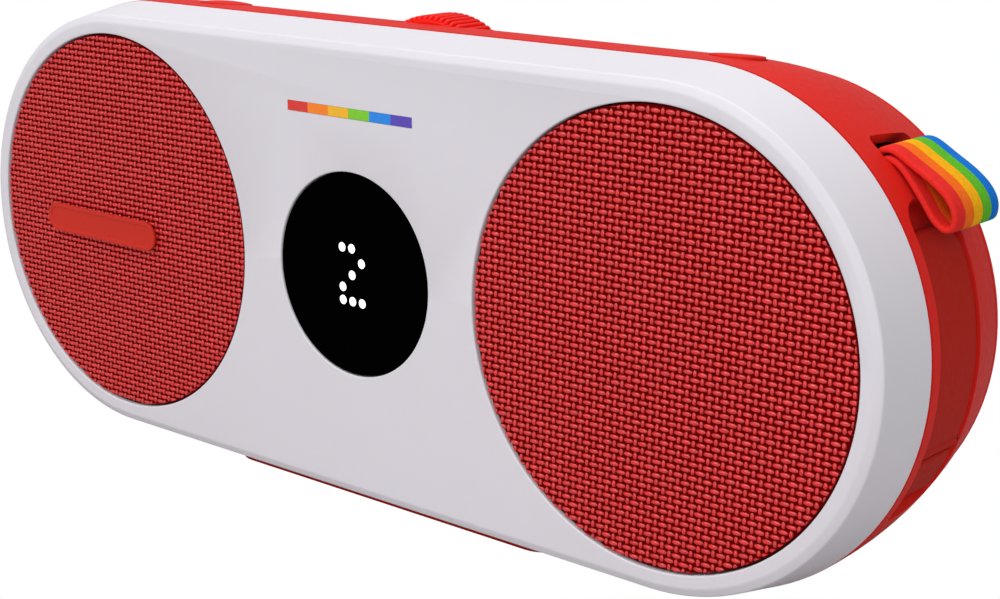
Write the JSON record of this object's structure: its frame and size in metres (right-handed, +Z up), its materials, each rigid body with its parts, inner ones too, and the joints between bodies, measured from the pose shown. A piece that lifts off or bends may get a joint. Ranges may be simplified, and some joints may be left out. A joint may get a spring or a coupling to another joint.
{
  "type": "portable party speaker",
  "caption": "Portable speaker in a long round-ended case, with cloth grilles either side of a dot display, a ribbed volume dial, push buttons, a socket cover and a striped carry loop.",
  "frame": {"origin": "under the middle of the foot, on the surface it stands on", "axes": "+X along the case towards the carry loop, -Y out of the front face, +Z up"},
  "size_m": [0.23, 0.0448, 0.0931],
  "materials": {
    "white_abs": "fine matte moulded plastic",
    "red_abs": "satin moulded plastic",
    "red_silicone": "soft matte silicone",
    "colour_ink": "printed colour segments",
    "grille_fabric": "coarse woven speaker cloth",
    "black_gloss": "polished dark window",
    "circuit_board": "printed circuit board",
    "black_abs": "moulded black plastic",
    "paper_cone": "pressed paper fibre",
    "soft_rubber": "soft rubber",
    "steel": "zinc-plated steel",
    "strap_webbing": "striped woven webbing",
    "cell_wrap": "shrink-wrapped cell"
  },
  "bodies": {
    "root": {"front_bezel": "white_abs", "main_housing": "red_abs", "rear_cover": "red_abs", "badge": "red_abs", "port_cover_tail": "red_silicone", "foot": "red_silicone", "colour_strip": "colour_ink", "grille_cloth_left": "grille_fabric", "grille_cloth_right": "grille_fabric", "display_window": "black_gloss", "display_board": "circuit_board", "main_board": "circuit_board", "port_board": "circuit_board", "power_switch_board": "circuit_board", "play_switch_board": "circuit_board", "baffle": "black_abs", "grille_frame_left": "black_abs", "grille_frame_right": "black_abs", "dial_bracket": "black_abs", "dial_encoder": "black_abs", "aux_socket": "black_abs", "battery_tray": "black_abs", "power_switch": "black_abs", "play_switch": "black_abs", "display_ribbon": "black_abs", "driver_basket_left": "black_abs", "driver_basket_right": "black_abs", "driver_surround_left": "soft_rubber", "driver_surround_right": "soft_rubber", "speaker_lead_left": "soft_rubber", "speaker_lead_right": "soft_rubber", "driver_magnet_left": "steel", "driver_magnet_right": "steel", "port_cover_pin": "steel", "strap_pin": "steel", "usb_socket": "steel", "driver_screw_left_1": "steel", "driver_screw_left_2": "steel", "driver_screw_left_3": "steel", "driver_screw_left_4": "steel", "driver_screw_right_1": "steel", "driver_screw_right_2": "steel", "driver_screw_right_3": "steel", "driver_screw_right_4": "steel", "rear_screw_upper_left": "steel", "rear_screw_upper_right": "steel", "rear_screw_lower_left": "steel", "rear_screw_lower_right": "steel", "strap": "strap_webbing", "battery_cell_lower": "cell_wrap", "battery_cell_upper": "cell_wrap"},
    "dial": {"dial_wheel": "red_abs", "dial_shaft": "steel"},
    "power_key": {"power_button": "red_abs"},
    "play_key": {"play_button": "red_abs"},
    "port_flap": {"port_cover": "red_silicone"},
    "cone_left": {"driver_cone_left": "paper_cone"},
    "cone_right": {"driver_cone_right": "paper_cone"}
  },
  "joints": [
    {"name": "dial_spin", "type": "hinge", "parent": "root", "child": "dial", "pos_m": [0, 0.00432, 0.0751], "axis": [0, 1, 0], "continuous": true},
    {"name": "power_press", "type": "slide", "parent": "root", "child": "power_key", "axis": [0, -0.1093, -0.994], "range_m": [0, 0.0008], "stiffness_N_per_m": 1500},
    {"name": "play_press", "type": "slide", "parent": "root", "child": "play_key", "axis": [0, -0.1093, -0.994], "range_m": [0, 0.0008], "stiffness_N_per_m": 1500},
    {"name": "port_cover_hinge", "type": "hinge", "parent": "root", "child": "port_flap", "pos_m": [0.10939, 0.0004, 0.03178], "axis": [0, 1, 0], "range_deg": [0, 105]},
    {"name": "cone_left_slide", "type": "slide", "parent": "root", "child": "cone_left", "axis": [0, 1, 0], "range_m": [-0.002, 0.002], "stiffness_N_per_m": 1200},
    {"name": "cone_right_slide", "type": "slide", "parent": "root", "child": "cone_right", "axis": [0, 1, 0], "range_m": [-0.002, 0.002], "stiffness_N_per_m": 1200}
  ]
}
